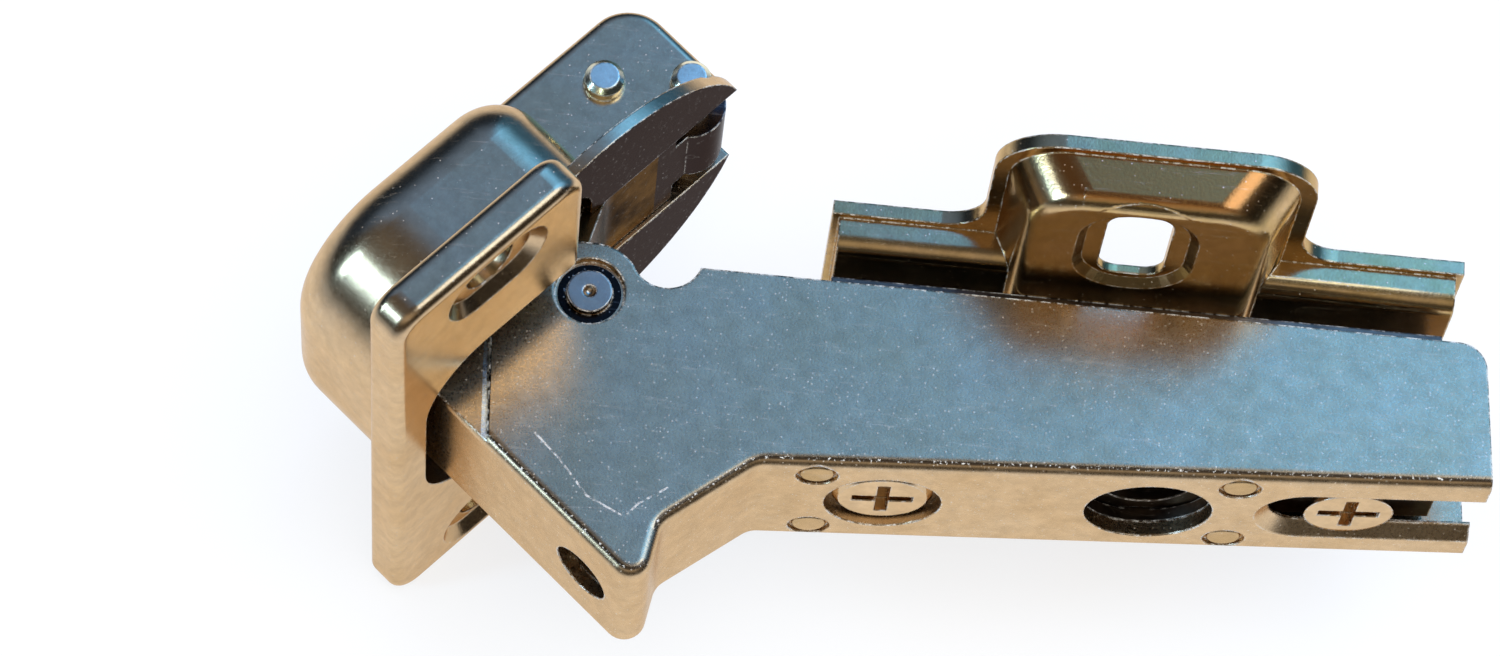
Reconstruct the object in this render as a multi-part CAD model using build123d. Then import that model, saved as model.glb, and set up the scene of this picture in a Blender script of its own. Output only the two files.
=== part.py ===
import os
from math import atan2, cos, degrees, hypot, radians, sin, tan

from build123d import *

os.makedirs("parts", exist_ok=True)

# Row frame: origin on the cabinet panel midway between the plate screws, +Y into the panel,
# +X along the arm to its rear, +Z along the pivot axes. All sizes are in millimetres.

# Arm placement, in the row frame
ARM_X = -7.7
ARM_Y = -20.4
ARM_TILT = 4.0

# Arm: u along the web, v from the web's outer face towards the panel
ARM_W = 13.7
ARM_T = 1.2
ARM_REAR = 35.9
ARM_FOLD_R = 0.9
ARM_BEND = (-18.4, 0.0)
ARM_KINK = (-25.4, -4.9)
ARM_CORNER = (-26.8, -10.7)
ARM_CORNER_R = 1.6
ARM_EDGE_GAP = 6.4
ARM_REAR_R = 2.2
ARM_TOP_FRONT = -22.9
NOTCH_LOW = (-25.6, 13.9)
NOTCH_END = (-27.9, 15.7)
EYE_R = 3.95
TIP_R = 2.9
JOGGLE_U = -38.4
JOGGLE = 0.35
DIMPLE_U = (-14.0, 17.4)
DIMPLE_Z = 4.75
DIMPLE_R = 1.6
DIMPLE_DEEP = 0.45
PEEP_U = 11.1
PEEP_R = 4.8
NOSE_HOLE_M = -15.0
NOSE_HOLE_R = 2.5
SLOT_TIP = 20.2
SLOT_W = 5.6
SLOT_DISH = 7.8
SLOT_DISH_DEEP = 1.0
RUN = 0.05

# Cup placement in the arm frame, and its turn from the web
CUP_U = -45.0
CUP_V = 1.0
CUP_ANGLE = 45.0

# Cup: d along the door, m into the door, z along the pivots
FLANGE_D = 18.6
FLANGE_T = 3.3
FLANGE_W = 50.4
FLANGE_R = 2.6
FLANGE_EDGE_R = 0.9
DOME_D = (1.9, 24.6)
DOME_W = 26.2
DOME_R = 9.6
DOME_STEP_R = 5.0
DOME_DEEP = 15.0
DOME_EDGE_R = 4.0
EAR_END = 38.2
EAR_W = 13.4
EAR_END_R = 3.4
EAR_EDGE_R = 0.8
EAR_GAP_M = 10.0
LIP_M = 3.9
LIP_T = 1.0
LIP_R = 15.1
LIP_D = 24.8
CUP_WALL = 1.1
MOUTH_D = 3.0
MOUTH_W = 22.0
MOUTH_R = 6.0
MOUTH_LIP_R = 0.9
CUP_SCREW_D = 9.9
CUP_SCREW_SPACING = 42.0
CUP_SCREW_R = 2.25
CUP_DISH = (9.7, 6.4)
CUP_DISH_DEEP = 0.9
NOSE_D = 4.6

# Pivots in the cup frame
PIVOT_ARM_OUTER = (18.6, -1.0)
PIVOT_ARM_INNER = (10.0, 10.5)
PIVOT_CUP_INNER = (31.4, 10.8)
PIVOT_CUP_OUTER = (36.2, 6.3)
CUP_PIN_R = 1.53
CUP_PIN_OUT = 1.2
CUP_PIN_BEVEL = 0.42
ARM_PIN_R = 1.7
ARM_PIN_RING_R = 2.65
ARM_PIN_RING_DEEP = 0.6
ARM_PIN_DIMPLE_R = 0.5

# Links
LINK_OUTER_W = 10.8
LINK_OUTER_T = 1.4
LINK_OUTER_M = 4.3
LINK_OUTER_BEND = 25.5
LINK_OUTER_BEND_R = 4.0
LINK_OUTER_WAIST = 32.9
KNUCKLE_W = 6.4
KNUCKLE_R = 2.85
KNUCKLE_NOTCH_TURN = 66.0
KNUCKLE_NOTCH_OFF = 1.2
LINK_INNER_W = 6.0
LINK_INNER_EYE_R = 2.45
LINK_INNER_BAR = (11.2, 13.2)
LINK_INNER_NECK = 27.0
HOOK_R = 2.7
HOOK_TURNS = (-6.0, 136.0)

# Closing spring: a bent leaf in the bottom of the pocket
SPRING_T = 0.5
SPRING_W = 8.4
SPRING_D = 28.6
SPRING_TOP_M = 10.3
SPRING_GAP = 0.08
SPRING_R = 2.2

# Guide plate, riveted under the arm's web
GUIDE_U = (-17.4, 19.4)
GUIDE_T = 1.0
GUIDE_LEG = 0.8
GUIDE_DEEP = 8.0
GUIDE_GAP = 0.1
RIVET_R = 0.7
RIVET_HEAD_R = 1.3
RIVET_HEAD_T = 0.4

# Tongue on the plate
TONGUE_U = (-13.0, 33.0)
TONGUE_W = 9.2
TONGUE_T = 1.3
TONGUE_SIDE = 1.1
TONGUE_SLOT_U = -4.4
TONGUE_SLOT_W = 4.4

# Screws
SIDE_U = -8.8
SIDE_HEAD_R = 3.8
SIDE_RING_R = 4.4
SIDE_HEAD_V = 0.35
SIDE_NECK_R = 2.0
SIDE_FOOT_R = 3.1
SIDE_FOOT_T = 1.4
CLAMP_U = 26.2
CLAMP_HEAD_V = 0.35
CLAMP_SHANK_R = 2.4
CLAMP_LONG = 9.0
CROSS_W = 0.95
CROSS_LONG = 4.6
CROSS_DEEP = 1.1

# Mounting plate
PLATE_SPACING = 32.0
PLATE_X = (-22.2, 25.4)
PLATE_RAIL_W = 14.8
PLATE_WING_X = (-11.0, 12.8)
PLATE_WING_W = 44.0
PLATE_TOP_X = (-8.1, 9.3)
PLATE_TOP_W = 42.0
PLATE_CORNER_R = 4.8
PLATE_ROOT_R = 3.0
PLATE_FOOT_T = 1.1
PLATE_STEP = 0.55
PLATE_RAIL_H = 3.75
PLATE_WING_H = 5.0
PLATE_EDGE_R = 1.3
PLATE_SHEET = 1.2
PLATE_SLOT = (4.7, 6.5)
PLATE_DISH = (9.0, 10.8)
PLATE_DISH_DEEP = 1.3

# Placements
arm_frame = Location((ARM_X, ARM_Y, 0), (0, 0, ARM_TILT))
cup_in_arm = Location((CUP_U, CUP_V, 0), (0, 0, CUP_ANGLE))
cup_frame = arm_frame * cup_in_arm


def to_arm(d, m):
    """Cup-frame point in the arm frame."""
    turn = radians(CUP_ANGLE)
    return (CUP_U + d * cos(turn) - m * sin(turn), CUP_V + d * sin(turn) + m * cos(turn))


def prism(points, low, high):
    """Straight-sided block over a closed outline, from z low to high."""
    face = make_face(Polyline(*points, close=True))
    return Pos(0, 0, low) * extrude(face, high - low)


def drum(x, y, radius, low, high):
    """Cylinder along z."""
    return Pos(x, y, (low + high) / 2) * Cylinder(radius, high - low)


def block(x, y, z):
    """Box from three (low, high) ranges."""
    size = [b - a for a, b in (x, y, z)]
    middle = [(a + b) / 2 for a, b in (x, y, z)]
    return Pos(*middle) * Box(*size)


def across_y(shape):
    """Turns a shape drawn along z so that its axis runs along +y."""
    return Rot(-90, 0, 0) * shape


def post(x, z, radius, low, high):
    """Cylinder along y, from y low to high."""
    return Pos(x, (low + high) / 2, z) * across_y(Cylinder(radius, high - low))


def cone_post(x, z, r_low, r_high, low, high):
    """Cone along y, from y low to high."""
    return Pos(x, (low + high) / 2, z) * across_y(Cone(r_low, r_high, high - low))


def slot_cut(x, z, size_x, size_z, low, high, spread=0.0):
    """Round-ended cutter along y; spread widens it at y low."""
    long_x = size_x >= size_z
    outline = SlotOverall(max(size_x, size_z), min(size_x, size_z), rotation=0 if long_x else 90)
    if spread:
        outline = offset(outline, spread)
        taper = degrees(atan2(spread, high - low))
        body = extrude(outline, high - low, taper=taper)
    else:
        body = extrude(outline, high - low)
    return Pos(x, low, z) * across_y(body)


def cross_cut(x, z, low):
    """Cross recess cut downwards from y low."""
    bar = Pos(x, low + CROSS_DEEP / 2, z) * Box(CROSS_LONG, CROSS_DEEP, CROSS_W)
    return bar + Pos(x, low + CROSS_DEEP / 2, z) * Box(CROSS_W, CROSS_DEEP, CROSS_LONG)


def inset_path(points, distance):
    """Mitred copy of an open path, moved to its left."""
    moved = []
    for i, (x, y) in enumerate(points):
        ways = []
        if i > 0:
            ways.append((x - points[i - 1][0], y - points[i - 1][1]))
        if i < len(points) - 1:
            ways.append((points[i + 1][0] - x, points[i + 1][1] - y))
        normals = [(-b / hypot(a, b), a / hypot(a, b)) for a, b in ways]
        nx = sum(n[0] for n in normals) / len(normals)
        ny = sum(n[1] for n in normals) / len(normals)
        scale = distance / (nx * nx + ny * ny)
        moved.append((x + nx * scale, y + ny * scale))
    return moved


def tangent_points(a, ra, b, rb, side):
    """Ends of the outer tangent of two circles; side is 1 for the left of a to b, -1 for the right."""
    run = hypot(b[0] - a[0], b[1] - a[1])
    turn = atan2(b[1] - a[1], b[0] - a[0]) + side * atan2((run**2 - (ra - rb) ** 2) ** 0.5, ra - rb)
    way = (cos(turn), sin(turn))
    return (a[0] + ra * way[0], a[1] + ra * way[1]), (b[0] + rb * way[0], b[1] + rb * way[1])


# Pivots in the arm frame
arm_outer = to_arm(*PIVOT_ARM_OUTER)
arm_inner = to_arm(*PIVOT_ARM_INNER)


# Hinge arm: a folded channel with a nose that reaches into the cup
def top_edge(u):
    """Free edge of the side walls, level with the plate."""
    height = -ARM_Y - ARM_EDGE_GAP
    return height / cos(radians(ARM_TILT)) - u * tan(radians(ARM_TILT))


half = ARM_W / 2
inside = half - ARM_T
nose_line = to_arm(NOSE_D, 6.0)
web_path = [(ARM_REAR, 0.0), ARM_BEND, ARM_KINK, ARM_CORNER, nose_line]
tip_low = to_arm(PIVOT_ARM_INNER[0] - TIP_R * cos(radians(40)), PIVOT_ARM_INNER[1] + TIP_R * sin(radians(40)))
tip_far = to_arm(PIVOT_ARM_INNER[0], PIVOT_ARM_INNER[1] + TIP_R)
eye_left, tip_right = tangent_points(arm_outer, EYE_R, arm_inner, TIP_R, -1)
eye_start_turn = radians(35)
eye_start = (arm_outer[0] + EYE_R * cos(eye_start_turn), arm_outer[1] + EYE_R * sin(eye_start_turn))
eye_end_turn = atan2(eye_left[1] - arm_outer[1], eye_left[0] - arm_outer[0])
eye_mid_turn = (eye_start_turn + eye_end_turn) / 2
eye_top = (arm_outer[0] + EYE_R * cos(eye_mid_turn), arm_outer[1] + EYE_R * sin(eye_mid_turn))
top_front = (ARM_TOP_FRONT, top_edge(ARM_TOP_FRONT))
outline = [
    Polyline(tip_low, nose_line, ARM_CORNER, ARM_KINK, ARM_BEND, (ARM_REAR, 0.0)),
    Polyline((ARM_REAR, 0.0), (ARM_REAR, top_edge(ARM_REAR)), top_front),
    ThreePointArc(top_front, NOTCH_LOW, NOTCH_END),
    Line(NOTCH_END, eye_start),
    ThreePointArc(eye_start, eye_top, eye_left),
    Line(eye_left, tip_right),
    ThreePointArc(tip_right, tip_far, tip_low),
]
arm = Pos(0, 0, -half) * extrude(make_face(outline), ARM_W)


def near(edge, point, reach=0.05):
    """True for an edge along z at a point of the outline."""
    middle = edge.center()
    return hypot(middle.X - point[0], middle.Y - point[1]) < reach


posts = arm.edges().filter_by(Axis.Z)
arm = fillet([e for e in posts if near(e, ARM_CORNER)], ARM_CORNER_R)
arm = fillet([e for e in arm.edges().filter_by(Axis.Z) if near(e, ARM_BEND) or near(e, ARM_KINK)], 2.0)
rear_top = (ARM_REAR, top_edge(ARM_REAR))
arm = fillet([e for e in arm.edges().filter_by(Axis.Z) if near(e, rear_top)], ARM_REAR_R)


def along_web(edge):
    """True for an edge of a side face that follows the web's outer face."""
    middle = edge.center()
    if abs(abs(middle.Z) - half) > 0.01:
        return False
    for a, b in zip(web_path, web_path[1:]):
        run = hypot(b[0] - a[0], b[1] - a[1])
        away = abs((b[0] - a[0]) * (middle.Y - a[1]) - (b[1] - a[1]) * (middle.X - a[0])) / run
        along = ((middle.X - a[0]) * (b[0] - a[0]) + (middle.Y - a[1]) * (b[1] - a[1])) / run
        if away < 0.75 and -1 < along < run + 1:
            return True
    return False


arm = fillet([e for e in arm.edges() if along_web(e)], ARM_FOLD_R)
inner_path = inset_path(web_path, -ARM_T)
nose_end = to_arm(NOSE_D + ARM_T, 2 * DOME_DEEP)
far = 60.0
hollow = [(far, ARM_T)] + inner_path[1:-1] + [nose_end, (-far, far), (far, far)]
arm -= prism(hollow, -inside, inside)
arm -= post(PEEP_U, 0, PEEP_R, -1, 2)
arm -= post(SIDE_U, 0, SIDE_RING_R, -1, 2)
slot_long = 2 * (ARM_REAR + SLOT_DISH - SLOT_TIP)
arm -= slot_cut(SLOT_TIP + slot_long / 2, 0, slot_long, SLOT_W, -1, 2)
spread = (SLOT_DISH - SLOT_W) / 2
arm -= slot_cut(SLOT_TIP + slot_long / 2, 0, slot_long, SLOT_W, 0, SLOT_DISH_DEEP, spread)
for u in DIMPLE_U:
    for side in (-1, 1):
        arm -= post(u, side * DIMPLE_Z, DIMPLE_R, -1, DIMPLE_DEEP)
        arm -= post(u, side * DIMPLE_Z, RIVET_R, -1, 2)
nose_hole = Pos(0, NOSE_HOLE_M, 0) * Rot(0, 90, 0) * Cylinder(NOSE_HOLE_R, 4 * ARM_T)
arm -= cup_in_arm * Pos(NOSE_D, 0, 0) * nose_hole
for low, high in ((-half, -inside), (inside, half)):
    outer_face = low if low < 0 else high
    ring_low = min(outer_face, outer_face - ARM_PIN_RING_DEEP * (1 if low > 0 else -1))
    arm -= drum(*arm_outer, ARM_PIN_RING_R, ring_low, ring_low + ARM_PIN_RING_DEEP)
    arm -= drum(*arm_outer, ARM_PIN_R, low - 1, high + 1)
    arm -= drum(*arm_inner, CUP_PIN_R, low - 1, high + 1)
    step_low = outer_face - JOGGLE if low > 0 else outer_face
    tip_box = block((JOGGLE_U - far, JOGGLE_U), (-far, far), (step_low, step_low + JOGGLE))
    arm -= tip_box

# Arm pins
pin_outer = drum(*arm_outer, ARM_PIN_R, -half, half)
for side in (-1, 1):
    pin_outer -= Pos(*arm_outer, side * (half + 0.1)) * Sphere(ARM_PIN_DIMPLE_R)
pin_inner = drum(*arm_inner, CUP_PIN_R, -half + JOGGLE, half - JOGGLE)

# Cup: flange, dome and the narrow pocket that carries the cup pins
flange = block((0, FLANGE_D), (0, FLANGE_T), (-FLANGE_W / 2, FLANGE_W / 2))
flange = fillet(flange.edges().filter_by(Axis.Y), FLANGE_R)
front = flange.faces().sort_by(Axis.Y)[0]
back = flange.faces().sort_by(Axis.Y)[-1]
flange = fillet(front.edges() + back.edges(), FLANGE_EDGE_R)
dome = block(DOME_D, (FLANGE_T / 2, DOME_DEEP), (-DOME_W / 2, DOME_W / 2))
dome_posts = dome.edges().filter_by(Axis.Y).sort_by(Axis.X)
dome = fillet(dome_posts[:2], DOME_R)
dome = fillet(dome.edges().filter_by(Axis.Y).sort_by(Axis.X)[-2:], DOME_STEP_R)
dome = fillet(dome.faces().sort_by(Axis.Y)[-1].edges(), DOME_EDGE_R)
dome -= block((FLANGE_D, EAR_END), (0, LIP_M), (-DOME_W, DOME_W))
ear = block((FLANGE_D - 4, EAR_END), (LIP_M, DOME_DEEP), (-EAR_W / 2, EAR_W / 2))
ear_corner = [e for e in ear.edges().filter_by(Axis.Z) if near(e, (EAR_END, DOME_DEEP))]
ear = fillet(ear_corner, EAR_END_R)
ear_side = [e for e in ear.edges() if abs(abs(e.center().Z) - EAR_W / 2) < 0.01]
ear_round = [e for e in ear_side if e.center().Y > LIP_M + 0.1 and e.center().X > FLANGE_D - 3.9]
ear = fillet(ear_round, EAR_EDGE_R)
lip = post(LIP_D, 0, LIP_R, LIP_M, LIP_M + LIP_T)
lip -= block((LIP_D - LIP_R, FLANGE_D), (0, DOME_DEEP), (-LIP_R, LIP_R))
cup = flange + dome + ear + lip
mouth = block((MOUTH_D, DOME_D[1] - CUP_WALL), (-1, DOME_DEEP - CUP_WALL), (-MOUTH_W / 2, MOUTH_W / 2))
mouth = fillet(mouth.edges().filter_by(Axis.Y).sort_by(Axis.X)[:2], MOUTH_R)
mouth = fillet(mouth.edges().filter_by(Axis.Y).sort_by(Axis.X)[-2:], DOME_STEP_R - CUP_WALL)
mouth = fillet(mouth.faces().sort_by(Axis.Y)[-1].edges(), DOME_EDGE_R - CUP_WALL)
ear_inside = EAR_W / 2 - CUP_WALL
pocket = block((FLANGE_D - 6, EAR_END - CUP_WALL), (-1, DOME_DEEP - CUP_WALL), (-ear_inside, ear_inside))
pocket_corner = (EAR_END - CUP_WALL, DOME_DEEP - CUP_WALL)
pocket = fillet([e for e in pocket.edges().filter_by(Axis.Z) if near(e, pocket_corner)], EAR_END_R - CUP_WALL)
cup -= mouth
cup -= pocket
cup -= block((EAR_END - 2 * CUP_WALL, LIP_D + LIP_R), (0, EAR_GAP_M), (-ear_inside, ear_inside))
for side in (-1, 1):
    z = side * CUP_SCREW_SPACING / 2
    cup -= post(CUP_SCREW_D, z, CUP_SCREW_R, -1, FLANGE_T + 1)
    dish_flat = (CUP_DISH[0] - 2 * CUP_DISH_DEEP, CUP_DISH[1] - 2 * CUP_DISH_DEEP)
    cup -= slot_cut(CUP_SCREW_D, z, *dish_flat, 0, CUP_DISH_DEEP, CUP_DISH_DEEP)
for pivot in (PIVOT_CUP_INNER, PIVOT_CUP_OUTER):
    cup -= drum(*pivot, CUP_PIN_R, -EAR_W, EAR_W)


def cup_pin(pivot):
    """Pin through both ears with bevelled ends standing out."""
    end = EAR_W / 2 + CUP_PIN_OUT
    pin = drum(*pivot, CUP_PIN_R, -end, end)
    rims = pin.edges().filter_by(GeomType.CIRCLE)
    return chamfer(rims, CUP_PIN_BEVEL)


# Outer link: a plate rolled round a pin at each end
link_half = LINK_OUTER_W / 2
link_mid = LINK_OUTER_M + LINK_OUTER_T / 2
roll_r = KNUCKLE_R - LINK_OUTER_T / 2
link_bend = (LINK_OUTER_BEND, link_mid)
link_start = tangent_points(PIVOT_ARM_OUTER, roll_r, link_bend, 0, 1)[0]
link_path = [link_start, link_bend, (PIVOT_CUP_OUTER[0], link_mid)]
upper = inset_path(link_path, -LINK_OUTER_T / 2)
lower = inset_path(link_path, LINK_OUTER_T / 2)
outer_link = prism(upper + lower[::-1], -link_half, link_half)
inner_bend = LINK_OUTER_BEND_R - LINK_OUTER_T
outer_link = fillet([e for e in outer_link.edges().filter_by(Axis.Z) if near(e, upper[1])], inner_bend)
outer_link = fillet([e for e in outer_link.edges().filter_by(Axis.Z) if near(e, lower[1])], LINK_OUTER_BEND_R)
outer_link += drum(*PIVOT_ARM_OUTER, KNUCKLE_R, -link_half, link_half)
knuckle_half = KNUCKLE_W / 2
for low, high in ((-link_half, -knuckle_half), (knuckle_half, link_half)):
    outer_link -= block((LINK_OUTER_WAIST, EAR_END), (0, DOME_DEEP), (low, high))
outer_link += drum(*PIVOT_CUP_OUTER, KNUCKLE_R, -knuckle_half, knuckle_half)
outer_link -= drum(*PIVOT_ARM_OUTER, ARM_PIN_R + RUN, -half, half)
outer_link -= drum(*PIVOT_CUP_OUTER, CUP_PIN_R + RUN, -half, half)
notch = block((KNUCKLE_NOTCH_OFF, KNUCKLE_R + 1), (-KNUCKLE_R, KNUCKLE_R), (-knuckle_half, knuckle_half))
outer_link -= Pos(*PIVOT_CUP_OUTER, 0) * Rot(0, 0, KNUCKLE_NOTCH_TURN) * notch

# Inner link: a bowed bar with an eye on the cup pin and an open hook on the arm pin
bow = LINK_INNER_BAR
eye = PIVOT_CUP_INNER
hook = PIVOT_ARM_INNER
bar = [
    (hook[0], bow[1]),
    (hook[0] + 1.2, bow[0]),
    (LINK_INNER_NECK, bow[0]),
    (eye[0], eye[1] - LINK_INNER_EYE_R * 0.9),
    (eye[0], bow[1]),
]
inner_half = LINK_INNER_W / 2
inner_link = prism(bar, -inner_half, inner_half)
inner_link += drum(*eye, LINK_INNER_EYE_R, -inner_half, inner_half)
inner_link += drum(*hook, HOOK_R, -inner_half, inner_half)
inner_link -= drum(*eye, CUP_PIN_R + RUN, -half, half)
inner_link -= drum(*hook, CUP_PIN_R + RUN, -half, half)
mouth_fan = [hook]
for turn in (HOOK_TURNS[1], HOOK_TURNS[1] + 60, HOOK_TURNS[1] + 120, HOOK_TURNS[1] + 180, HOOK_TURNS[0] + 360):
    mouth_fan.append((hook[0] + 9 * cos(radians(turn)), hook[1] + 9 * sin(radians(turn))))
fan = prism(mouth_fan, -half, half)
inner_link -= fan & drum(*hook, HOOK_R + 0.5, -half, half)

# Closing spring: the leaf lies under the eye and turns up the end wall
leaf_half = SPRING_W / 2
leaf_low = DOME_DEEP - CUP_WALL - SPRING_GAP
leaf_end = EAR_END - CUP_WALL - SPRING_GAP
leaf_path = [(SPRING_D, leaf_low), (leaf_end, leaf_low), (leaf_end, SPRING_TOP_M)]
leaf_inside = inset_path(leaf_path, -SPRING_T)
spring = prism(leaf_path + leaf_inside[::-1], -leaf_half, leaf_half)
spring = fillet([e for e in spring.edges().filter_by(Axis.Z) if near(e, leaf_inside[1])], SPRING_R)
spring = fillet([e for e in spring.edges().filter_by(Axis.Z) if near(e, leaf_path[1])], SPRING_R + SPRING_T)

# Guide plate inside the arm
guide_half = inside - GUIDE_GAP
guide_low = ARM_T
guide_high = ARM_T + GUIDE_T
guide = block(GUIDE_U, (guide_low, guide_high), (-guide_half, guide_half))
for side in (-1, 1):
    low, high = sorted((side * (guide_half - GUIDE_LEG), side * guide_half))
    guide += block(GUIDE_U, (guide_low, GUIDE_DEEP), (low, high))
guide -= post(PEEP_U, 0, PEEP_R, 0, guide_high + 1)
guide -= post(SIDE_U, 0, SIDE_HEAD_R + RUN, 0, guide_high + 1)
rivets = {}
names = ("front_lower", "front_upper", "rear_lower", "rear_upper")
spots = [(u, side * DIMPLE_Z) for u in DIMPLE_U for side in (-1, 1)]
for name, (u, z) in zip(names, spots):
    guide -= post(u, z, RIVET_R, 0, guide_high + 1)
    head = post(u, z, RIVET_HEAD_R, DIMPLE_DEEP - RIVET_HEAD_T, DIMPLE_DEEP)
    head = fillet(head.edges().filter_by(GeomType.CIRCLE).sort_by(Axis.Y)[0], RIVET_HEAD_T * 0.6)
    rivets["guide_rivet_" + name] = head + post(u, z, RIVET_R, DIMPLE_DEEP, guide_high)

# Tongue of the plate, under the guide plate
tongue_top = guide_high + GUIDE_GAP
tongue_floor = top_edge(0) + 6
tongue = block(TONGUE_U, (tongue_top, tongue_floor), (-TONGUE_W / 2, TONGUE_W / 2))
side_z = TONGUE_W / 2 - TONGUE_SIDE
tongue -= block((-far, far), (tongue_top + TONGUE_T, far), (-side_z, side_z))
front_slot = 2 * (TONGUE_SLOT_U - TONGUE_U[0])
tongue -= slot_cut(TONGUE_U[0], 0, front_slot, TONGUE_SLOT_W, tongue_top - 1, tongue_top + TONGUE_T + 1)
tongue -= post(CLAMP_U, 0, CLAMP_SHANK_R + RUN, 0, tongue_top + TONGUE_T + 1)
tongue -= post(PEEP_U, 0, PEEP_R - 1.4, 0, tongue_top + TONGUE_T + 1)
tongue = arm_frame * tongue
tongue -= block((-far, far), (-PLATE_WING_H, far), (-far, far))

# Screws
side_screw = post(SIDE_U, 0, SIDE_HEAD_R, SIDE_HEAD_V, guide_high)
side_screw = chamfer(side_screw.edges().filter_by(GeomType.CIRCLE).sort_by(Axis.Y)[0], 0.5)
foot_v = tongue_top + TONGUE_T + GUIDE_GAP
side_screw += post(SIDE_U, 0, SIDE_NECK_R, guide_high, foot_v)
side_screw += post(SIDE_U, 0, SIDE_FOOT_R, foot_v, foot_v + SIDE_FOOT_T)
side_screw -= cross_cut(SIDE_U, 0, SIDE_HEAD_V)
slope = spread / SLOT_DISH_DEEP
clamp_neck = SLOT_W / 2 - 2 * RUN
clamp_wide = clamp_neck + slope * (SLOT_DISH_DEEP - CLAMP_HEAD_V) - RUN
clamp_screw = cone_post(CLAMP_U, 0, clamp_wide, clamp_neck, CLAMP_HEAD_V, SLOT_DISH_DEEP)
clamp_screw += post(CLAMP_U, 0, clamp_neck, SLOT_DISH_DEEP, tongue_top - RUN)
clamp_screw += post(CLAMP_U, 0, CLAMP_SHANK_R, tongue_top - RUN, CLAMP_LONG)
clamp_screw -= cross_cut(CLAMP_U, 0, CLAMP_HEAD_V)


# Mounting plate: stamped shell with a foot rim, two rails and two wings
def rectangle(x, width, corner, grow=0.0):
    """Rounded rectangle over a range of x, centred on the middle line."""
    outline = RectangleRounded(x[1] - x[0] + 2 * grow, width + 2 * grow, corner + grow)
    return Pos((x[0] + x[1]) / 2, 0) * outline


def stand(body):
    """Turns a body drawn upwards so that it stands out from the panel."""
    return Rot(90, 0, 0) * body


def plate_foot():
    """Flat rim that lies on the panel."""
    rails = Pos(sum(PLATE_X) / 2, 0) * Rectangle(PLATE_X[1] - PLATE_X[0], PLATE_RAIL_W)
    foot = extrude(rails + rectangle(PLATE_WING_X, PLATE_WING_W, PLATE_CORNER_R), PLATE_FOOT_T)
    roots = []
    for edge in foot.edges().filter_by(Axis.Z):
        spot = edge.center()
        at_wing = min(abs(spot.X - x) for x in PLATE_WING_X) < 0.05
        if at_wing and abs(abs(spot.Y) - PLATE_RAIL_W / 2) < 0.05:
            roots.append(edge)
    return stand(fillet(roots, PLATE_ROOT_R))


def plate_body(grow, less, edge_r):
    """Raised rails and sloping wings; grow moves the walls, less lowers the tops."""
    rail_x = (PLATE_X[0] - grow, PLATE_X[1] + grow)
    rails = Pos(sum(PLATE_X) / 2, 0) * Rectangle(rail_x[1] - rail_x[0], PLATE_RAIL_W + 2 * grow)
    rail_block = extrude(rails, PLATE_RAIL_H - less)
    top = Pos(0, 0, PLATE_WING_H - less) * rectangle(PLATE_TOP_X, PLATE_TOP_W, PLATE_CORNER_R, grow + PLATE_STEP)
    wing_block = loft([rectangle(PLATE_WING_X, PLATE_WING_W, PLATE_CORNER_R, grow), top])
    if edge_r:
        rail_block = fillet(rail_block.faces().sort_by(Axis.Z)[-1].edges().filter_by(Axis.X), edge_r)
        wing_block = fillet(wing_block.faces().sort_by(Axis.Z)[-1].edges(), edge_r)
    return stand(rail_block + wing_block)


plate = plate_body(-PLATE_STEP, 0, PLATE_EDGE_R)
plate += plate_foot()
under = plate_body(-PLATE_STEP - PLATE_SHEET, PLATE_SHEET, 0)
for side in (-1, 1):
    z = side * PLATE_SPACING / 2
    under -= slot_cut(0, z, PLATE_DISH[0], PLATE_DISH[1], -far, 0)
plate -= under
for side in (-1, 1):
    z = side * PLATE_SPACING / 2
    plate -= slot_cut(0, z, *PLATE_SLOT, -far, far)
    dish_flat = (PLATE_DISH[0] - 2 * PLATE_DISH_DEEP, PLATE_DISH[1] - 2 * PLATE_DISH_DEEP)
    plate -= slot_cut(0, z, *dish_flat, -PLATE_WING_H, PLATE_DISH_DEEP - PLATE_WING_H, PLATE_DISH_DEEP)
plate -= arm_frame * post(CLAMP_U, 0, CLAMP_SHANK_R + 0.5, 0, CLAMP_LONG + 1)

# Every node in the row frame
nodes = {
    "mounting_plate": plate,
    "plate_tongue": tongue,
    "clamp_screw": arm_frame * clamp_screw,
    "hinge_arm": arm_frame * arm,
    "guide_plate": arm_frame * guide,
    "side_adjust_screw": arm_frame * side_screw,
    "arm_pin_outer": arm_frame * pin_outer,
    "arm_pin_inner": arm_frame * pin_inner,
    "closing_spring": cup_frame * spring,
    "outer_link": cup_frame * outer_link,
    "inner_link": cup_frame * inner_link,
    "hinge_cup": cup_frame * cup,
    "cup_pin_inner": cup_frame * cup_pin(PIVOT_CUP_INNER),
    "cup_pin_outer": cup_frame * cup_pin(PIVOT_CUP_OUTER),
}
for name, rivet in rivets.items():
    nodes[name] = arm_frame * rivet
for name, shape in nodes.items():
    shape.label = name
    export_step(shape, "parts/" + name + ".step")
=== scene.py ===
from math import cos, pi, radians, sin

import bmesh
import bpy
from mathutils import Matrix, Vector


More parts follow.
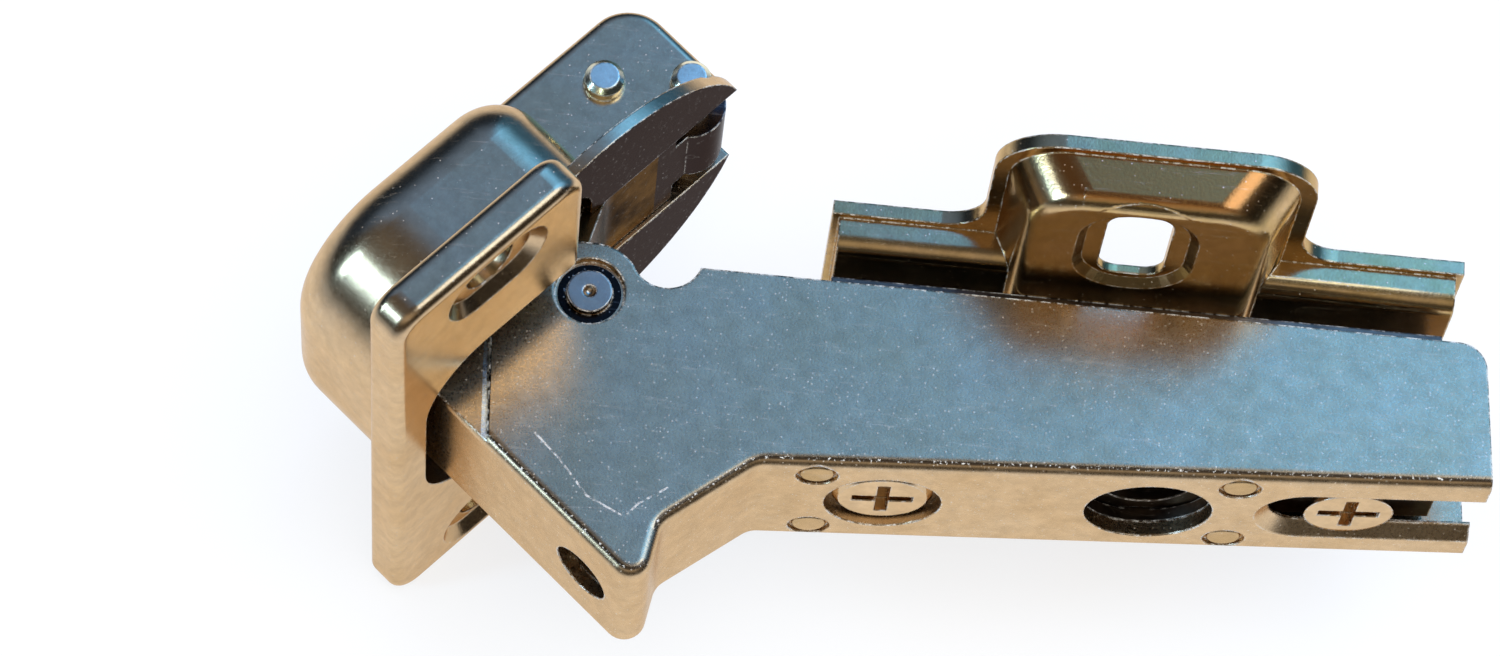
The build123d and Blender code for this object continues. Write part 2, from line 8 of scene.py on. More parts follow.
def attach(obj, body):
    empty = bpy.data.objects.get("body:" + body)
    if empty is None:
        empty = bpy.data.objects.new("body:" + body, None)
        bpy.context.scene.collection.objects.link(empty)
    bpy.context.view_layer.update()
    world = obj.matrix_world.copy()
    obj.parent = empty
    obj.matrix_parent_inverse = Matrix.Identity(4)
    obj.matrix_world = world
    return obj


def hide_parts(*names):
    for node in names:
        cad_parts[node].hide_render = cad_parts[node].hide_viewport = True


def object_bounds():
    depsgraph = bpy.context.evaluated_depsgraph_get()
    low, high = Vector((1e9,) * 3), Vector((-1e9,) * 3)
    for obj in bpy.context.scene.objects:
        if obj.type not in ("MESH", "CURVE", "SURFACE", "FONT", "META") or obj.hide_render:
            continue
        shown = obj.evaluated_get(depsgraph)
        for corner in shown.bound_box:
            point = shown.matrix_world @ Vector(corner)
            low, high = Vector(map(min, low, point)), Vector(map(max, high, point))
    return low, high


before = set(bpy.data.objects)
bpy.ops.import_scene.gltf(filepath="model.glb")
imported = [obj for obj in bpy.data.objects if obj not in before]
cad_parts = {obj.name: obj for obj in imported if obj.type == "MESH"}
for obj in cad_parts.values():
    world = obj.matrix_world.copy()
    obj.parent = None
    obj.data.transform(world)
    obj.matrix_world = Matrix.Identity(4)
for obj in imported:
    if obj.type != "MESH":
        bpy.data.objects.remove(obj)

CAD_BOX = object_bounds()
MM = 0.001

# Camera, in the part's frame
CAMERA_MM = (-36.0, -183.2, 384.5)
CAMERA_RIGHT = (0.99503, 0.08038, 0.0588)
CAMERA_UP = (-0.0975, 0.9063, 0.4113)
SENSOR_MM = 36.0
LENS_MM = 134.4
CLIP_START_M = 0.01

# Arm and cup placement, as in the construction
ARM_ORIGIN_MM = (-7.7, -20.4)
ARM_TILT_DEG = 4.0
ARM_WALL_MM = 6.85
CUP_IN_ARM_MM = (-45.0, 1.0)
CUP_TURN_DEG = 45.0
EYE_IN_CUP_MM = (18.6, -1.0)
JOGGLE_MM = -38.4

# Where the marks on the metal begin and end, painted highlights and painted shade among them
EYE_RING_MM = (1.72, 2.38)
# Painted highlight, then painted shadow line, across the joggle step, in millimetres along the arm
SEAM_HIGHLIGHT_MM = (-0.45, 0.0)
SEAM_SHADOW_MM = (0.0, 0.16)
WEB_EDGE_Z_MM = 5.4
LIP_DEPTH_MM = 3.6
KNUCKLE_ALONG_MM = 31.0
WING_WALL_Z_MM = 20.2
WING_WALL_Y_MM = -1.2

# Plate wing, as in the construction
WING_TOP_MM = -5.0
WING_EDGE_Z_MM = 19.81
WING_EDGE_R_MM = 1.3

# Small gaps that keep joined faces from lying on each other
FILLER_SINK_MM = 0.002
FILLER_SHRINK_MM = 0.005
DISH_RISE_MM = 0.01

# Filler of the construction's dish: half its width, its reach past the new dish, its heel past the edge
FILLER_HALF_MM = 4.6
FILLER_MARGIN_MM = 1.0
FILLER_HEEL_MM = (1.2, 0.3)

# Straight steps in a quarter turn
ROUND_STEPS = 8

# Screw slot pressed in the wing, as the photograph shows it
SLOT_Z_MM = 13.7
SLOT_MM = (4.9, 9.6, 1.6)
SLOT_DISH_MM = (9.0, 12.1, 4.2)
SLOT_SEAT_MM = (7.6, 10.7, 3.5)
SLOT_SEAT_Y_MM = -4.40
SLOT_BACK_Y_MM = -3.75

# Cut that takes the construction's boss away, and how far cuts reach through the wing
BOSS_CUT_MM = (9.6, 13.2, 2.0)
CUT_FRONT_Y_MM = -7.0
CUT_BACK_Y_MM = 1.0

# Colours, linear
NICKEL = (0.66, 0.46, 0.26)
NICKEL_PALE = (0.72, 0.53, 0.33)
NICKEL_GOLD = (0.60, 0.41, 0.17)
RIVET_GOLD = (0.50, 0.34, 0.16)
STEEL = (0.58, 0.48, 0.37)
PIN_SILVER = (1.0, 0.98, 0.76)
STEEL_DULL = (0.30, 0.24, 0.18)
# Painted shade, for the cup's lip and pocket, the links' knuckle and the guide under the arm
STEEL_IN_SHADE = (0.056, 0.044, 0.042)
# Painted shade and painted golden glints, for the links in the cup's shaded hollow
LINK_SHADE = (0.012, 0.010, 0.008)
LINK_GLINT = (0.32, 0.17, 0.055)
# Painted darker reflection on the sloping end walls of the plate's wings
WING_WALL_SHADE = (0.50, 0.22, 0.07)
# Painted dark reflection on the rounded fold between the arm's walls and its web
FOLD_SHADE_BROWN = (0.13, 0.095, 0.065)
EDGE_WARM = (0.92, 0.80, 0.66)
EDGE_DULL = (0.45, 0.43, 0.42)
# Near-black painted shade, for the recess round the arm's pin and the gap at the foot of the joggle step
SHADE_BLACK = (0.015, 0.013, 0.012)
# Painted highlight on the raised edge of the joggle step
SEAM_PAINTED_HIGHLIGHT = (0.85, 0.93, 0.95)
# Cream for wear, also used for painted glint specks and painted edge highlights
WEAR_AND_GLINT = (0.86, 0.82, 0.74)
FLOOR = (0.93, 0.93, 0.95)
SKY_LEFT = (0.180, 0.320, 0.67)
SKY_MIDDLE = (0.190, 0.415, 0.99)
SKY_RIGHT = (0.45, 1.55, 3.70)
SKY_TOP = (0.13, 0.12, 0.11)
SKY_FRONT = (0.80, 0.72, 0.60)

# Scuffed line on the arm's side wall, in points along and across the arm
SCUFF_MM = ((-35.4, 2.4), (-33.1, -0.1), (-31.0, -3.0), (-28.2, -4.6), (-27.2, -3.5), (-25.1, -2.2))
SCUFF_HALF_MM = 0.08
SCUFF_SHARE = 0.6

# Noise patterns of the finishes: size in millimetres, detail and roughness
GRAIN = (0.20, 2.0, 0.6)
BLOTCH = (1.3, 4.0, 0.65)
STAIN = (7.0, 5.0, 0.6)
CHIP = (0.6, 3.0, 0.7)
FLAKE = (0.24, 2.0, 0.6)

# Levels between which each pattern fades, how much of it shows, and the height of the relief
STAIN_LEVELS = (0.35, 0.70)
BLOTCH_LEVELS = (0.30, 0.70)
BLOTCH_DARKEST = 0.78
CHIP_LEVELS = (0.44, 0.58)
FLAKE_LEVELS = (0.59, 0.66)
FLAKE_SHARE = 0.8
ROUGH_LEVELS = (0.25, 0.75)
ROUGH_RANGE = (0.80, 1.25)
RELIEF_MM = 0.05

# Painted glint specks, worn edges with painted highlights, and hairline scratches
SPECK_MM = 0.27
SPECK_LEVELS = (0.05, 0.34)
SPECK_SHARE = 0.45
EDGE_TURN = (0.90, 0.99)
EDGE_SAMPLES = 6
HAIR_STRETCH = (60.0, 900.0, 500.0)
HAIR_TURN = (0.3, 0.2, 0.5)
HAIR_SCALE = 3.0
HAIR_LEVELS = (0.64, 0.66, 0.68)
HAIR_SHARE = 0.10

# How far a face has to be turned for a mark to lie on it
LIP_FACING = -0.8
WEB_EDGE_TURN = (0.82, 0.88, 0.95, 0.98)
WEB_FACING = -0.12
WING_END_TURN = (0.70, 0.93)
WALL_FACING = 0.9

# Floor: side in metres, share of plain white, and how that white fades with distance in reflections
FLOOR_SIDE = 3.0
FLOOR_ROUGHNESS = 0.8
FLOOR_GLOW = 0.76
FLOOR_FAR = 0.18
FLOOR_FADE_M = (0.10, 0.28)

# Where the sky's colours change, and its strength near the ground
SKY_STRETCH = 2.0
SKY_SHIFT = 0.3
SKY_ACROSS = (0.31, 0.42, 0.61)
SKY_BEFORE = (0.12, 0.40)
SKY_BEHIND = (0.58, 0.68)
SKY_RISE = (0.42, 0.86)
SKY_LOW = 0.10


def grey(value):
    """Grey ramp colour."""
    return (value, value, value)


class Graph:
    """Short way to add and join shader nodes."""

    def __init__(self, tree):
        self.tree = tree

    def add(self, kind, **values):
        node = self.tree.nodes.new(kind)
        for key, value in values.items():
            if hasattr(node, key):
                setattr(node, key, value)
            else:
                node.inputs[key.replace("_", " ")].default_value = value
        return node

    def feed(self, socket, value):
        if hasattr(value, "is_linked"):
            self.tree.links.new(value, socket)
        elif isinstance(value, tuple) and socket.type == "RGBA":
            socket.default_value = (*value, 1.0)
        else:
            socket.default_value = value

    def ramp(self, source, places, values=(0.0, 1.0)):
        node = self.add("ShaderNodeValToRGB")
        elements = node.color_ramp.elements
        while len(elements) < len(places):
            elements.new(0.5)
        for element, place, colour in zip(elements, places, values):
            element.position = place
            element.color = (*(colour if isinstance(colour, tuple) else grey(colour)), 1.0)
        self.feed(node.inputs["Fac"], source)
        return node.outputs["Color"]

    def mix(self, factor, first, second):
        node = self.add("ShaderNodeMix", data_type="RGBA")
        for index, value in ((0, factor), (6, first), (7, second)):
            self.feed(node.inputs[index], value)
        return node.outputs[2]

    def math(self, operation, first, second=0.0):
        node = self.add("ShaderNodeMath", operation=operation)
        self.feed(node.inputs[0], first)
        self.feed(node.inputs[1], second)
        return node.outputs[0]

    def vector(self, operation, first, second=(0.0, 0.0, 0.0)):
        node = self.add("ShaderNodeVectorMath", operation=operation)
        self.feed(node.inputs[0], first)
        self.feed(node.inputs[1], second)
        scalar = operation in ("DOT_PRODUCT", "LENGTH", "DISTANCE")
        return node.outputs["Value"] if scalar else node.outputs["Vector"]

    def noise(self, place, size_mm, detail, roughness):
        node = self.add("ShaderNodeTexNoise", Scale=1.0 / (size_mm * MM), Detail=detail, Roughness=roughness)
        self.feed(node.inputs["Vector"], place)
        return node.outputs["Fac"]


def near_path(graph, place, points, half):
    """Mask that is one along a path of points, in metres."""
    nearest = None
    for start, end in zip(points, points[1:]):
        run = end - start
        offset = graph.vector("SUBTRACT", place, tuple(start))
        along = graph.vector("DOT_PRODUCT", offset, tuple(run / run.length_squared))
        along = graph.math("MINIMUM", graph.math("MAXIMUM", along, 0.0), 1.0)
        step = graph.add("ShaderNodeVectorMath", operation="SCALE")
        step.inputs[0].default_value = tuple(run)
        graph.feed(step.inputs["Scale"], along)
        away = graph.vector("DISTANCE", offset, step.outputs["Vector"])
        nearest = away if nearest is None else graph.math("MINIMUM", nearest, away)
    return graph.math("LESS_THAN", nearest, half)


def metal(name, colour, pale, roughness, speckle=0.02, grain=0.12, edge=0.8, edge_mm=0.22, scuff=(), marks=(),
          edge_tint=EDGE_WARM, chipped_and_glinting=None):
    """Plated metal with grain, stains, painted glint specks, hairline scratches, worn edges with painted
    highlights, and local marks.
    """
    material = bpy.data.materials.new(name)
    material.use_nodes = True
    graph = Graph(material.node_tree)
    shader = material.node_tree.nodes["Principled BSDF"]
    spot = graph.add("ShaderNodeTexCoord")
    place = spot.outputs["Object"]

    fine = graph.noise(place, *GRAIN)
    blotch = graph.noise(place, *BLOTCH)
    stain = graph.noise(place, *STAIN)
    base = graph.mix(graph.ramp(stain, STAIN_LEVELS), colour, pale)
    base = graph.vector("MULTIPLY", base, graph.ramp(blotch, BLOTCH_LEVELS, (BLOTCH_DARKEST, 1.0)))
    graze = edge_tint
    for mark, mark_colour, mark_tint in marks:
        mask = mark(graph, place, spot.outputs["Normal"])
        base = graph.mix(mask, base, mark_colour)
        graze = graph.mix(mask, graze, mark_tint)

    stretch = graph.add("ShaderNodeMapping")
    stretch.inputs["Scale"].default_value = HAIR_STRETCH
    stretch.inputs["Rotation"].default_value = HAIR_TURN
    graph.feed(stretch.inputs["Vector"], place)
    lines = graph.add("ShaderNodeTexNoise", Scale=HAIR_SCALE, Detail=2.0, Roughness=0.5)
    graph.feed(lines.inputs["Vector"], stretch.outputs["Vector"])
    hair = graph.ramp(lines.outputs["Fac"], HAIR_LEVELS, (0.0, HAIR_SHARE, 0.0))

    cells = graph.add("ShaderNodeTexVoronoi", Scale=1.0 / (SPECK_MM * MM))
    graph.feed(cells.inputs["Vector"], place)
    shade = graph.add("ShaderNodeSeparateColor")
    graph.feed(shade.inputs["Color"], cells.outputs["Color"])
    chosen = graph.math("GREATER_THAN", shade.outputs["Red"], 1.0 - speckle)
    dot = graph.ramp(cells.outputs["Distance"], SPECK_LEVELS, (SPECK_SHARE, 0.0))
    speck = graph.math("MULTIPLY", dot, chosen)

    rounded = graph.add("ShaderNodeBevel", samples=EDGE_SAMPLES)
    rounded.inputs["Radius"].default_value = edge_mm * MM
    flat = graph.add("ShaderNodeNewGeometry").outputs["Normal"]
    turned = graph.vector("DOT_PRODUCT", rounded.outputs["Normal"], flat)
    chips = graph.ramp(graph.noise(place, *CHIP), CHIP_LEVELS)
    rim = graph.math("MULTIPLY", graph.ramp(turned, EDGE_TURN, (edge, 0.0)), chips)

    # Cream, unmetallic marks: scratches are wear, specks are painted glints, edges are wear and painted
    # highlights
    wear_and_glint = graph.math("MAXIMUM", graph.math("MAXIMUM", hair, speck), rim)
    if scuff:
        scrape = graph.math("MULTIPLY", near_path(graph, place, scuff, SCUFF_HALF_MM * MM), chips)
        scrape = graph.math("MULTIPLY", scrape, SCUFF_SHARE)
        wear_and_glint = graph.math("MAXIMUM", wear_and_glint, scrape)
    # White flakes on a chosen band: partly wear, partly painted highlight dots
    if chipped_and_glinting:
        flakes = graph.ramp(graph.noise(place, *FLAKE), FLAKE_LEVELS, (0.0, FLAKE_SHARE))
        flakes = graph.math("MULTIPLY", chipped_and_glinting(graph, place, spot.outputs["Normal"]), flakes)
        wear_and_glint = graph.math("MAXIMUM", wear_and_glint, flakes)
    graph.feed(shader.inputs["Base Color"], graph.mix(wear_and_glint, base, WEAR_AND_GLINT))
    graph.feed(shader.inputs["Specular Tint"], graze)
    graph.feed(shader.inputs["Metallic"], graph.math("SUBTRACT", 1.0, wear_and_glint))
    rough = graph.ramp(fine, ROUGH_LEVELS, (roughness * ROUGH_RANGE[0], roughness * ROUGH_RANGE[1]))
    graph.feed(shader.inputs["Roughness"], rough)

    height = graph.math("ADD", graph.math("MULTIPLY", fine, grain), graph.math("MULTIPLY", speck, grain))
    relief = graph.add("ShaderNodeBump", Strength=1.0, Distance=RELIEF_MM * MM)
    graph.feed(relief.inputs["Height"], height)
    graph.feed(relief.inputs["Normal"], rounded.outputs["Normal"])
    graph.feed(shader.inputs["Normal"], relief.outputs["Normal"])
    return material


def dress(material, *nodes):
    """Gives a material to the named construction nodes."""
    for node in nodes:
        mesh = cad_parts[node].data
        mesh.materials.clear()
        mesh.materials.append(material)


def turned_point(origin, degrees_turned, u, v):
    """Point given along and across a turned axis, in the frame that the origin is given in."""
    turn = radians(degrees_turned)
    return (origin[0] + u * cos(turn) - v * sin(turn), origin[1] + u * sin(turn) + v * cos(turn))


def in_arm(u, v):
    """Arm-frame point in the part's frame, in millimetres."""
    return turned_point(ARM_ORIGIN_MM, ARM_TILT_DEG, u, v)


CUP_TILT_DEG = ARM_TILT_DEG + CUP_TURN_DEG
cup_origin = in_arm(*CUP_IN_ARM_MM)
eye_centre = turned_point(cup_origin, CUP_TILT_DEG, *EYE_IN_CUP_MM)
into_door = Vector((-sin(radians(CUP_TILT_DEG)), cos(radians(CUP_TILT_DEG)), 0.0))
along_cup = Vector((cos(radians(CUP_TILT_DEG)), sin(radians(CUP_TILT_DEG)), 0.0))
along_arm = Vector((cos(radians(ARM_TILT_DEG)), sin(radians(ARM_TILT_DEG)), 0.0))


def depth_along(graph, place, origin_mm, way):
    """Distance from a point along a direction, in millimetres."""
    offset = graph.vector("SUBTRACT", place, (origin_mm[0] * MM, origin_mm[1] * MM, 0.0))
    return graph.math("DIVIDE", graph.vector("DOT_PRODUCT", offset, tuple(way)), MM)


def cup_inside(graph, place, facing):
    """Faces that look out of the door, below the flange: the lip and the pocket, where shade is painted."""
    deep = graph.math("GREATER_THAN", depth_along(graph, place, cup_origin, into_door), LIP_DEPTH_MM)
    outward = graph.math("LESS_THAN", graph.vector("DOT_PRODUCT", facing, tuple(into_door)), LIP_FACING)
    return graph.math("MULTIPLY", deep, outward)


def eye_ring(graph, place, facing):
    """Ring recess round the arm's pin, where shade is painted near-black."""
    flat_place = graph.vector("MULTIPLY", place, (1.0, 1.0, 0.0))
    away = graph.vector("DISTANCE", flat_place, (eye_centre[0] * MM, eye_centre[1] * MM, 0.0))
    outer = graph.math("LESS_THAN", away, EYE_RING_MM[1] * MM)
    return graph.math("MULTIPLY", outer, graph.math("GREATER_THAN", away, EYE_RING_MM[0] * MM))


def web_edge(graph, place, facing):
    """Rounded edge between the arm's side walls and its web, where a dark shaded reflection and white
    highlight dots are painted.
    """
    turned = graph.add("ShaderNodeSeparateXYZ")
    graph.feed(turned.inputs[0], facing)
    spot = graph.add("ShaderNodeSeparateXYZ")
    graph.feed(spot.inputs[0], place)
    sideways = graph.math("ABSOLUTE", turned.outputs["Z"])
    band = graph.ramp(sideways, WEB_EDGE_TURN, (0.0, 1.0, 1.0, 0.0))
    outward = graph.math("LESS_THAN", turned.outputs["Y"], WEB_FACING)
    at_wall = graph.math("GREATER_THAN", graph.math("ABSOLUTE", spot.outputs["Z"]), WEB_EDGE_Z_MM * MM)
    return graph.math("MULTIPLY", band, graph.math("MULTIPLY", outward, at_wall))


def wing_end(graph, place, facing):
    """Sloping end walls of the plate's wings, above the foot rim, where a darker reflection is painted."""
    axes = graph.add("ShaderNodeSeparateXYZ")
    graph.feed(axes.inputs[0], place)
    raised = graph.math("LESS_THAN", axes.outputs["Y"], WING_WALL_Y_MM * MM)
    far_out = graph.math("GREATER_THAN", graph.math("ABSOLUTE", axes.outputs["Z"]), WING_WALL_Z_MM * MM)
    sideways = graph.math("ABSOLUTE", graph.vector("DOT_PRODUCT", facing, (0.0, 0.0, 1.0)))
    end = graph.math("MULTIPLY", raised, far_out)
    return graph.math("MULTIPLY", end, graph.ramp(sideways, WING_END_TURN))


def joggle_band(low, high):
    """Band beside the step in the arm's wall, from low to high millimetres along the arm, where the step's
    painted highlight and painted shadow line lie.
    """

    def mask(graph, place, facing):
        along = depth_along(graph, place, ARM_ORIGIN_MM, along_arm)
        above = graph.math("GREATER_THAN", along, JOGGLE_MM + low)
        below = graph.math("LESS_THAN", along, JOGGLE_MM + high)
        sideways = graph.vector("DOT_PRODUCT", facing, (0.0, 0.0, 1.0))
        on_wall = graph.math("GREATER_THAN", sideways, WALL_FACING)
        return graph.math("MULTIPLY", graph.math("MULTIPLY", above, below), on_wall)

    return mask


def knuckle(graph, place, facing):
    """Rolled end of the outer link, painted a lighter grey-brown shade for its shaded reflection."""
    return graph.math("GREATER_THAN", depth_along(graph, place, cup_origin, along_cup), KNUCKLE_ALONG_MM)


def rounded_rectangle(wide, long, corner):
    """Outline points of a rectangle with round corners."""
    points = []
    for quarter in range(4):
        side_x = 1 if quarter in (0, 3) else -1
        side_z = 1 if quarter in (0, 1) else -1
        for step in range(ROUND_STEPS + 1):
            turn = (quarter + step / ROUND_STEPS) * pi / 2
            x = side_x * (wide / 2 - corner) + corner * cos(turn)
            z = side_z * (long / 2 - corner) + corner * sin(turn)
            points.append((x, z))
    return points


def closed_solid(name, rings):
    """Solid through equal rings of points in millimetres, capped at both ends."""
    count = len(rings[0])
    points = [tuple(value * MM for value in point) for ring in rings for point in ring]
    faces = [tuple(range(count)), tuple(reversed(range(len(points) - count, len(points))))]
    for ring in range(len(rings) - 1):
        for index in range(count):
            after = (index + 1) % count
            here = ring * count
            faces.append((here + after, here + index, here + count + index, here + count + after))
    mesh = bpy.data.meshes.new(name)
    mesh.from_pydata(points, [], faces)
    work = bmesh.new()
    work.from_mesh(mesh)
    bmesh.ops.recalc_face_normals(work, faces=work.faces)
    work.to_mesh(mesh)
    work.free()
    solid = bpy.data.objects.new(name, mesh)
    bpy.context.scene.collection.objects.link(solid)
    return solid


def ring_at(size, y, z_middle):
    """Rounded rectangle at a height, round a slot's middle."""
    return [(x, y, z_middle + z) for x, z in rounded_rectangle(*size)]


def wing_filler(side):
    """Strip that closes the construction's round dish, with the wing's own edge rounding."""
    edge_z = WING_EDGE_Z_MM
    edge_r = WING_EDGE_R_MM - FILLER_SHRINK_MM
    top = WING_TOP_MM + FILLER_SINK_MM
    inner = SLOT_Z_MM - SLOT_DISH_MM[1] / 2 - FILLER_MARGIN_MM
    outline = [(inner, SLOT_BACK_Y_MM), (inner, top), (edge_z, top)]
    for step in range(1, ROUND_STEPS + 1):
        turn = step / ROUND_STEPS * pi / 2
        outline.append((edge_z + edge_r * sin(turn), WING_TOP_MM + WING_EDGE_R_MM - edge_r * cos(turn)))
    outline.append((edge_z + FILLER_HEEL_MM[0], SLOT_BACK_Y_MM + FILLER_HEEL_MM[1]))
    ends = (-FILLER_HALF_MM, FILLER_HALF_MM)
    return closed_solid("filler", [[(x, y, side * z) for z, y in outline] for x in ends])


def carve(body, operation, tool):
    """Joins or cuts a tool solid into a body, and removes the tool."""
    step = body.modifiers.new(operation, "BOOLEAN")
    step.operation = operation
    step.solver = "EXACT"
    step.object = tool
    bpy.context.view_layer.update()
    shape = bpy.data.meshes.new_from_object(body.evaluated_get(bpy.context.evaluated_depsgraph_get()))
    body.modifiers.clear()
    body.data = shape
    bpy.data.objects.remove(tool)


def slotted_plate():
    """Plate with a long see-through slot in each wing, in place of the construction's deep hole."""
    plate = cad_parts["mounting_plate"].copy()
    plate.data = plate.data.copy()
    plate.name = "plate_with_slots"
    bpy.context.scene.collection.objects.link(plate)
    for side in (-1, 1):
        z = side * SLOT_Z_MM
        boss = [ring_at(BOSS_CUT_MM, y, z) for y in (SLOT_BACK_Y_MM, CUT_BACK_Y_MM)]
        dish_mouth = ring_at(SLOT_DISH_MM, WING_TOP_MM - DISH_RISE_MM, z)
        dish_seat = ring_at(SLOT_SEAT_MM, SLOT_SEAT_Y_MM, z)
        slot = [ring_at(SLOT_MM, y, z) for y in (CUT_FRONT_Y_MM, CUT_BACK_Y_MM)]
        carve(plate, "DIFFERENCE", closed_solid("boss", boss))
        carve(plate, "UNION", wing_filler(side))
        carve(plate, "DIFFERENCE", closed_solid("dish", [dish_mouth, dish_seat]))
        carve(plate, "DIFFERENCE", closed_solid("slot", slot))
    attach(plate, "plate")
    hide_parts("mounting_plate")


# Finishes
scuff_line = [Vector((*in_arm(*point), ARM_WALL_MM)) * MM for point in SCUFF_MM]
arm_marks = (
    # Painted shade in the ring recess round the arm's pin
    (eye_ring, SHADE_BLACK, EDGE_DULL),
    # Painted dark reflection on the fold between the arm's walls and its web
    (web_edge, FOLD_SHADE_BROWN, EDGE_DULL),
    # Painted highlight on the raised edge of the joggle step
    (joggle_band(*SEAM_HIGHLIGHT_MM), SEAM_PAINTED_HIGHLIGHT, EDGE_WARM),
    # Painted shadow line at the foot of the joggle step
    (joggle_band(*SEAM_SHADOW_MM), SHADE_BLACK, EDGE_DULL),
)
# The white flakes along the fold to the web are partly wear and partly painted highlight dots
arm_metal = metal("nickel_arm", NICKEL, NICKEL_PALE, roughness=0.28, speckle=0.16, edge=1.0, edge_mm=0.27,
                  scuff=scuff_line, marks=arm_marks, chipped_and_glinting=web_edge)
dress(arm_metal, "hinge_arm")

# Painted shade on the cup's lip and pocket
cup_marks = ((cup_inside, STEEL_IN_SHADE, EDGE_DULL),)
cup_metal = metal("nickel_cup", NICKEL, NICKEL_PALE, roughness=0.22, speckle=0.06, grain=0.05,
                  marks=cup_marks)
dress(cup_metal, "hinge_cup")

# Painted darker reflection on the wings' end walls
plate_marks = ((wing_end, WING_WALL_SHADE, EDGE_WARM),)
plate_metal = metal("nickel_plate", NICKEL_GOLD, NICKEL, roughness=0.20, speckle=0.08, marks=plate_marks)
dress(plate_metal, "mounting_plate")
slotted_plate()

# The guide plate and tongue, under the arm, carry painted shade as their colour
guide_metal = metal("nickel_guide_in_shade", STEEL_IN_SHADE, STEEL_DULL, roughness=0.35)
dress(guide_metal, "guide_plate", "plate_tongue")

# The outer link is painted as shade with golden painted glints, and its knuckle a lighter painted shade
link_marks = ((knuckle, STEEL_IN_SHADE, EDGE_DULL),)
link_metal = metal("link_steel", LINK_SHADE, LINK_GLINT, roughness=0.22, grain=0.06, marks=link_marks,
                   edge_tint=EDGE_DULL)
dress(link_metal, "outer_link")

# The inner link is painted as shade with golden painted glints
bar_metal = metal("bar_steel_in_shade", LINK_SHADE, LINK_GLINT, roughness=0.22, grain=0.06, edge_tint=EDGE_DULL)
dress(bar_metal, "inner_link")

arm_pin_metal = metal("pin_steel", STEEL, NICKEL_PALE, roughness=0.20, speckle=0.03, grain=0.05)
dress(arm_pin_metal, "arm_pin_outer", "arm_pin_inner")

cup_pin_metal = metal("pin_silver", PIN_SILVER, PIN_SILVER, roughness=0.20, speckle=0.03, grain=0.05)
dress(cup_pin_metal, "cup_pin_inner", "cup_pin_outer")

screw_metal = metal("screw_steel", NICKEL, NICKEL_PALE, roughness=0.10, speckle=0.03, grain=0.04)
dress(screw_metal, "clamp_screw", "side_adjust_screw")

rivet_metal = metal("rivet_steel", RIVET_GOLD, NICKEL, roughness=0.25, speckle=0.03)
dress(rivet_metal, *[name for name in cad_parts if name.startswith("guide_rivet")])

spring_metal = metal("spring_steel", STEEL_DULL, STEEL, roughness=0.30)
dress(spring_metal, "closing_spring")

# Floor: white to the camera with the hinge's soft shadow, and fading with distance in reflections
bpy.ops.mesh.primitive_plane_add(size=FLOOR_SIDE, location=(0, 0, CAD_BOX[0][2]))
floor = bpy.context.object
floor.name = "floor"
floor_material = bpy.data.materials.new("floor_white")
floor_material.use_nodes = True
ground = Graph(floor_material.node_tree)
paper = floor_material.node_tree.nodes["Principled BSDF"]
paper.inputs["Base Color"].default_value = (*FLOOR, 1.0)
paper.inputs["Roughness"].default_value = FLOOR_ROUGHNESS
glow = ground.add("ShaderNodeEmission")
reach = ground.vector("LENGTH", ground.add("ShaderNodeTexCoord").outputs["Object"])
seen = ground.add("ShaderNodeLightPath")
fading = ground.ramp(reach, FLOOR_FADE_M, (1.0, FLOOR_FAR))
ground.feed(glow.inputs["Strength"], ground.math("MAXIMUM", seen.outputs["Is Camera Ray"], fading))
seen_share = ground.math("MAXIMUM", seen.outputs["Is Camera Ray"], seen.outputs["Is Glossy Ray"])
blend = ground.add("ShaderNodeMixShader")
ground.feed(blend.inputs[0], ground.math("MULTIPLY", seen_share, FLOOR_GLOW))
ground.feed(blend.inputs[1], paper.outputs["BSDF"])
ground.feed(blend.inputs[2], glow.outputs["Emission"])
ground.feed(floor_material.node_tree.nodes["Material Output"].inputs["Surface"], blend.outputs[0])
floor.data.materials.append(floor_material)


def area_light(name, place, size, power, colour, in_reflections):
    """Soft rectangular light aimed at the hinge."""
    light = bpy.data.lights.new(name, "AREA")
    light.shape = "RECTANGLE"
    light.size, light.size_y = size
    light.energy = power
    light.color = colour
    lamp = bpy.data.objects.new(name, light)
    lamp.location = place
    lamp.rotation_euler = (-Vector(place)).to_track_quat("-Z", "Y").to_euler()
    lamp.visible_glossy = in_reflections
    bpy.context.scene.collection.objects.link(lamp)


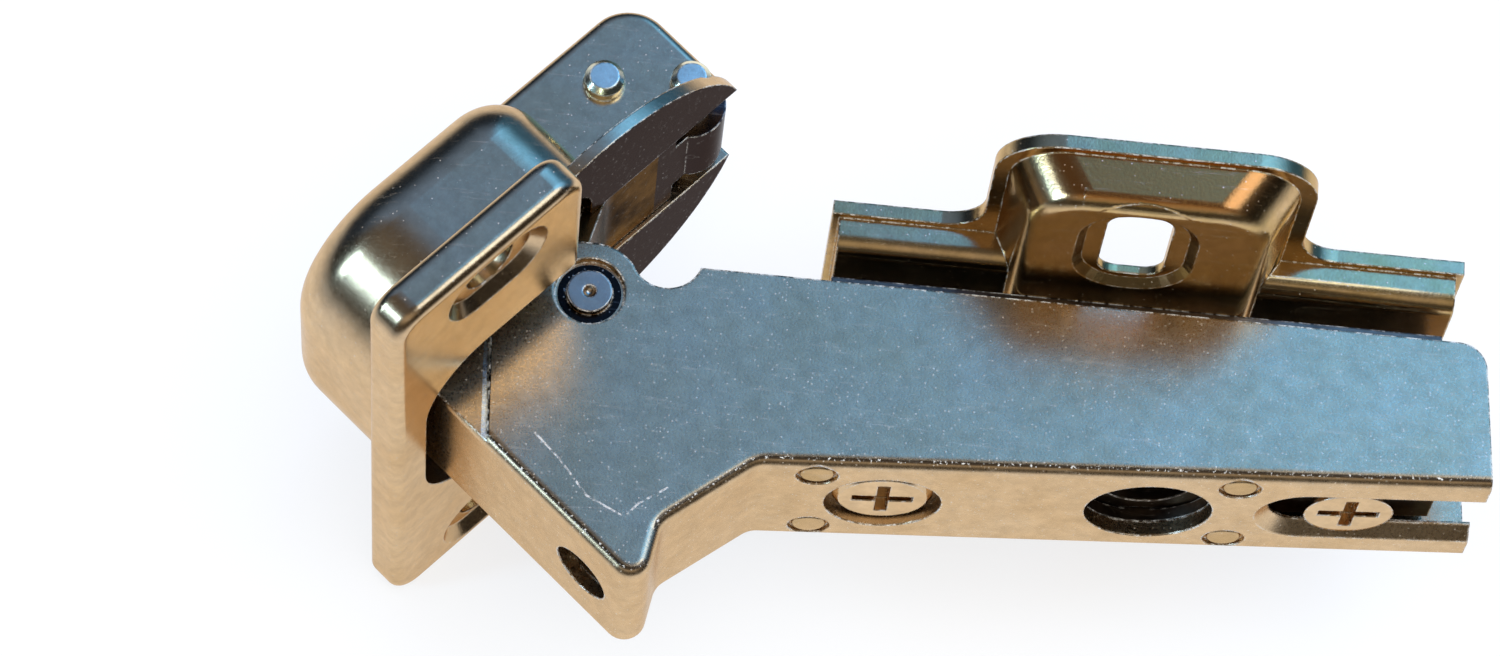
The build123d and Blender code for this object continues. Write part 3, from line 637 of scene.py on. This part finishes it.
# Lights, with places and sizes in metres and power in watts
area_light("fill", place=(0.1, -0.2, 1.2), size=(1.2, 1.2), power=18.0,
           colour=(1.0, 0.99, 0.97), in_reflections=False)
area_light("key", place=(-0.82, -0.30, 0.48), size=(0.14, 0.34), power=4.2,
           colour=(0.42, 0.69, 1.0), in_reflections=True)
area_light("soft_right", place=(0.46, 0.03, 0.88), size=(0.46, 0.46), power=1.9,
           colour=(0.70, 0.83, 1.0), in_reflections=True)

# Sky: blue behind and brighter to the right, dark overhead, pale in front, dark near the ground
world = bpy.data.worlds.new("studio")
bpy.context.scene.world = world
world.use_nodes = True
sky = Graph(world.node_tree)
way = sky.add("ShaderNodeTexCoord").outputs["Generated"]
axes = sky.add("ShaderNodeSeparateXYZ")
sky.feed(axes.inputs[0], way)
depth = sky.math("ADD", sky.math("MULTIPLY", axes.outputs["Y"], 0.5), 0.5)
across = sky.math("ADD", sky.math("MULTIPLY", axes.outputs["X"], SKY_STRETCH), SKY_SHIFT)
behind = sky.ramp(across, SKY_ACROSS, (SKY_LEFT, SKY_MIDDLE, SKY_RIGHT))
before = sky.ramp(depth, SKY_BEFORE, (SKY_FRONT, SKY_TOP))
tint = sky.mix(sky.ramp(depth, SKY_BEHIND), before, behind)
level = sky.ramp(axes.outputs["Z"], SKY_RISE, (SKY_LOW, 1.0))
backdrop = world.node_tree.nodes["Background"]
sky.feed(backdrop.inputs["Color"], tint)
sky.feed(backdrop.inputs["Strength"], level)

# Camera
right = Vector(CAMERA_RIGHT).normalized()
up = Vector(CAMERA_UP)
up = (up - right * up.dot(right)).normalized()
back = right.cross(up)
pose = Matrix((right, up, back)).transposed().to_4x4()
pose.translation = Vector(CAMERA_MM) * MM
lens = bpy.data.cameras.new("camera")
lens.sensor_width = SENSOR_MM
lens.lens = LENS_MM
lens.clip_start = CLIP_START_M
camera = bpy.data.objects.new("camera", lens)
camera.matrix_world = pose
bpy.context.scene.collection.objects.link(camera)
bpy.context.scene.camera = camera
bpy.context.scene.view_settings.view_transform = "Standard"
